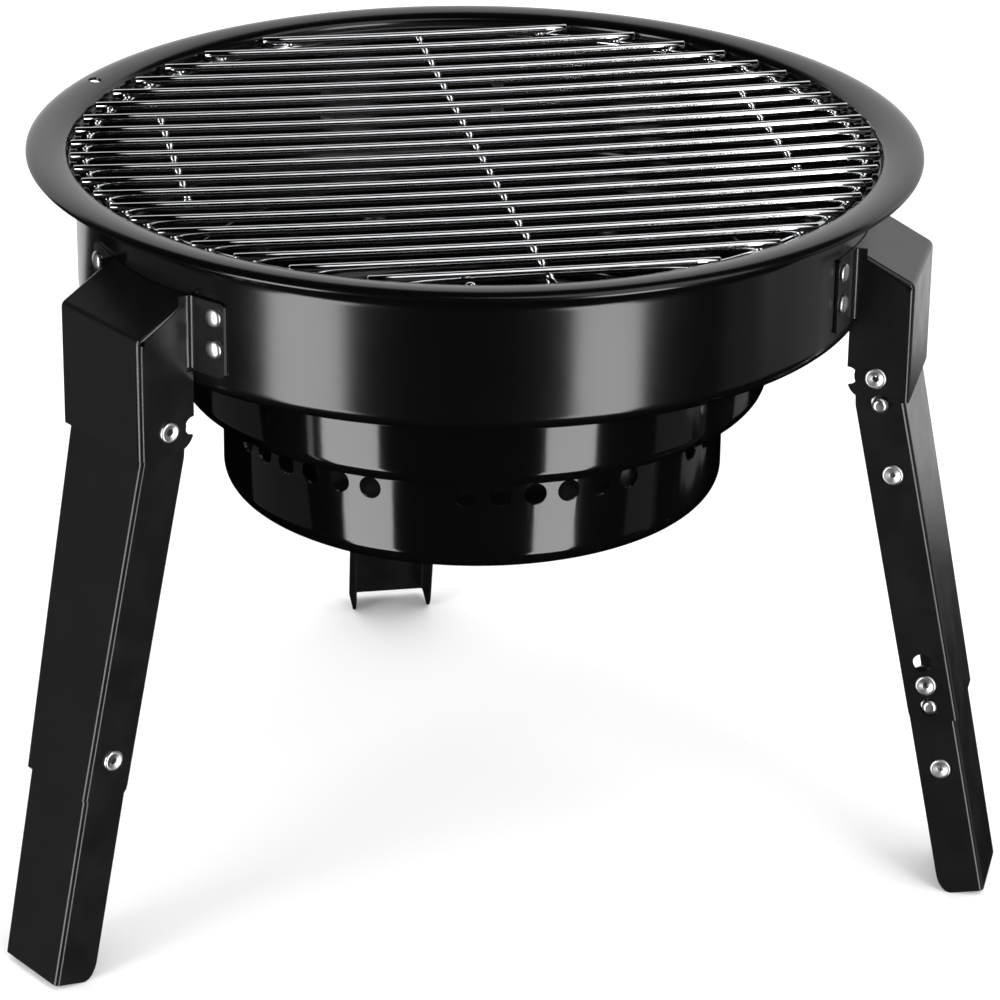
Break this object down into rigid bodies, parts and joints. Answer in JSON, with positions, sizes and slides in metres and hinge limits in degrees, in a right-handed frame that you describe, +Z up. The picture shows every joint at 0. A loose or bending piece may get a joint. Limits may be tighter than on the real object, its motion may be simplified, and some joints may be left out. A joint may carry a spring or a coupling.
{
  "type": "portable tabletop grill",
  "caption": "Round charcoal grill with a telescoping black bowl, chrome wire cooking grate and folding sheet-metal legs that lock with spring buttons.",
  "frame": {"origin": "centre of the fire pan's flat underside, on the bowl's axis", "axes": "+Z up along the bowl's axis, +X along the cooking grate's bars, +Y towards the back leg"},
  "size_m": [0.4542, 0.4387, 0.3334],
  "materials": {
    "enamel": "gloss black enamel",
    "powder_coat": "satin black powder coat",
    "chrome_wire": "bright plated wire",
    "coal_wire": "steel wire darkened by heat",
    "rivet_metal": "bright aluminium",
    "spring_steel": "bright spring steel"
  },
  "bodies": {
    "bowl_frame": {"upper_ring": "enamel", "leg_bracket_1": "powder_coat", "bracket_rivet_1_left_top": "rivet_metal", "bracket_rivet_1_left_bottom": "rivet_metal", "hip_rivet_1_left": "rivet_metal", "bracket_rivet_1_right_top": "rivet_metal", "bracket_rivet_1_right_bottom": "rivet_metal", "hip_rivet_1_right": "rivet_metal", "leg_bracket_2": "powder_coat", "bracket_rivet_2_left_top": "rivet_metal", "bracket_rivet_2_left_bottom": "rivet_metal", "hip_rivet_2_left": "rivet_metal", "bracket_rivet_2_right_top": "rivet_metal", "bracket_rivet_2_right_bottom": "rivet_metal", "hip_rivet_2_right": "rivet_metal", "leg_bracket_3": "powder_coat", "bracket_rivet_3_left_top": "rivet_metal", "bracket_rivet_3_left_bottom": "rivet_metal", "hip_rivet_3_left": "rivet_metal", "bracket_rivet_3_right_top": "rivet_metal", "bracket_rivet_3_right_bottom": "rivet_metal", "hip_rivet_3_right": "rivet_metal"},
    "middle_ring": {"middle_ring": "enamel"},
    "fire_pan": {"fire_pan": "enamel"},
    "charcoal_grate": {"charcoal_grate": "coal_wire"},
    "cooking_grate": {"cooking_grate": "chrome_wire"},
    "leg_mid_1": {"leg_mid_1": "powder_coat", "knee_rivet_1_left": "rivet_metal", "knee_rivet_1_right": "rivet_metal", "hip_spring_rivet_1": "rivet_metal"},
    "leg_lower_1": {"leg_lower_1": "powder_coat", "knee_spring_rivet_1": "rivet_metal"},
    "hip_button_1": {"hip_button_spring_1": "spring_steel"},
    "knee_button_1": {"knee_button_spring_1": "spring_steel"},
    "leg_mid_2": {"leg_mid_2": "powder_coat", "knee_rivet_2_left": "rivet_metal", "knee_rivet_2_right": "rivet_metal", "hip_spring_rivet_2": "rivet_metal"},
    "leg_lower_2": {"leg_lower_2": "powder_coat", "knee_spring_rivet_2": "rivet_metal"},
    "hip_button_2": {"hip_button_spring_2": "spring_steel"},
    "knee_button_2": {"knee_button_spring_2": "spring_steel"},
    "leg_mid_3": {"leg_mid_3": "powder_coat", "knee_rivet_3_left": "rivet_metal", "knee_rivet_3_right": "rivet_metal", "hip_spring_rivet_3": "rivet_metal"},
    "leg_lower_3": {"leg_lower_3": "powder_coat", "knee_spring_rivet_3": "rivet_metal"},
    "hip_button_3": {"hip_button_spring_3": "spring_steel"},
    "knee_button_3": {"knee_button_spring_3": "spring_steel"}
  },
  "joints": [
    {"name": "middle_ring_slide", "type": "slide", "parent": "bowl_frame", "child": "middle_ring", "axis": [0, 0, 1], "range_m": [0, 0.043]},
    {"name": "fire_pan_slide", "type": "slide", "parent": "middle_ring", "child": "fire_pan", "axis": [0, 0, 1], "range_m": [0, 0.046]},
    {"name": "charcoal_grate_lift", "type": "slide", "parent": "fire_pan", "child": "charcoal_grate", "axis": [0, 0, 1], "range_m": [0, 0.06]},
    {"name": "cooking_grate_lift", "type": "slide", "parent": "bowl_frame", "child": "cooking_grate", "axis": [0, 0, 1], "range_m": [0, 0.1]},
    {"name": "hip_1", "type": "hinge", "parent": "bowl_frame", "child": "leg_mid_1", "pos_m": [0, 0.1844, 0.075], "axis": [-1, 0, 0], "range_deg": [0, 45], "deforming": ["hip_button_spring_1"]},
    {"name": "knee_1", "type": "hinge", "parent": "leg_mid_1", "child": "leg_lower_1", "pos_m": [0, 0.21283, -0.07076], "axis": [-1, 0, 0], "range_deg": [0, 180], "deforming": ["knee_button_spring_1"]},
    {"name": "hip_button_1", "type": "hinge", "parent": "leg_mid_1", "child": "hip_button_1", "pos_m": [0.02313, 0.19361, 0.02973], "axis": [0, -0.9799, -0.1994], "range_deg": [0, 6], "stiffness_Nm_per_rad": 1, "springref_deg": -2.86},
    {"name": "knee_button_1", "type": "hinge", "parent": "leg_lower_1", "child": "knee_button_1", "pos_m": [0.01844, 0.22124, -0.11211], "axis": [0, -0.9799, -0.1994], "range_deg": [0, 6], "stiffness_Nm_per_rad": 1, "springref_deg": -2.86},
    {"name": "hip_2", "type": "hinge", "parent": "bowl_frame", "child": "leg_mid_2", "pos_m": [-0.1619, -0.08827, 0.075], "axis": [0.4787, -0.878, 0], "range_deg": [0, 45], "deforming": ["hip_button_spring_2"]},
    {"name": "knee_2", "type": "hinge", "parent": "leg_mid_2", "child": "leg_lower_2", "pos_m": [-0.18686, -0.10188, -0.07076], "axis": [0.4787, -0.878, 0], "range_deg": [0, 180], "deforming": ["knee_button_spring_2"]},
    {"name": "hip_button_2", "type": "hinge", "parent": "leg_mid_2", "child": "hip_button_2", "pos_m": [-0.18106, -0.07237, 0.02973], "axis": [0.8604, 0.4691, -0.1994], "range_deg": [0, 6], "stiffness_Nm_per_rad": 1, "springref_deg": -2.86},
    {"name": "knee_button_2", "type": "hinge", "parent": "leg_lower_2", "child": "knee_button_2", "pos_m": [-0.20307, -0.08972, -0.11211], "axis": [0.8604, 0.4691, -0.1994], "range_deg": [0, 6], "stiffness_Nm_per_rad": 1, "springref_deg": -2.86},
    {"name": "hip_3", "type": "hinge", "parent": "bowl_frame", "child": "leg_mid_3", "pos_m": [0.16859, -0.07471, 0.075], "axis": [0.4051, 0.9143, 0], "range_deg": [0, 45], "deforming": ["hip_button_spring_3"]},
    {"name": "knee_3", "type": "hinge", "parent": "leg_mid_3", "child": "leg_lower_3", "pos_m": [0.19458, -0.08623, -0.07076], "axis": [0.4051, 0.9143, 0], "range_deg": [0, 180], "deforming": ["knee_button_spring_3"]},
    {"name": "hip_button_3", "type": "hinge", "parent": "leg_mid_3", "child": "hip_button_3", "pos_m": [0.16764, -0.09959, 0.02973], "axis": [-0.8959, 0.397, -0.1994], "range_deg": [0, 6], "stiffness_Nm_per_rad": 1, "springref_deg": -2.86},
    {"name": "knee_button_3", "type": "hinge", "parent": "leg_lower_3", "child": "knee_button_3", "pos_m": [0.1948, -0.10649, -0.11211], "axis": [-0.8959, 0.397, -0.1994], "range_deg": [0, 6], "stiffness_Nm_per_rad": 1, "springref_deg": -2.86}
  ]
}
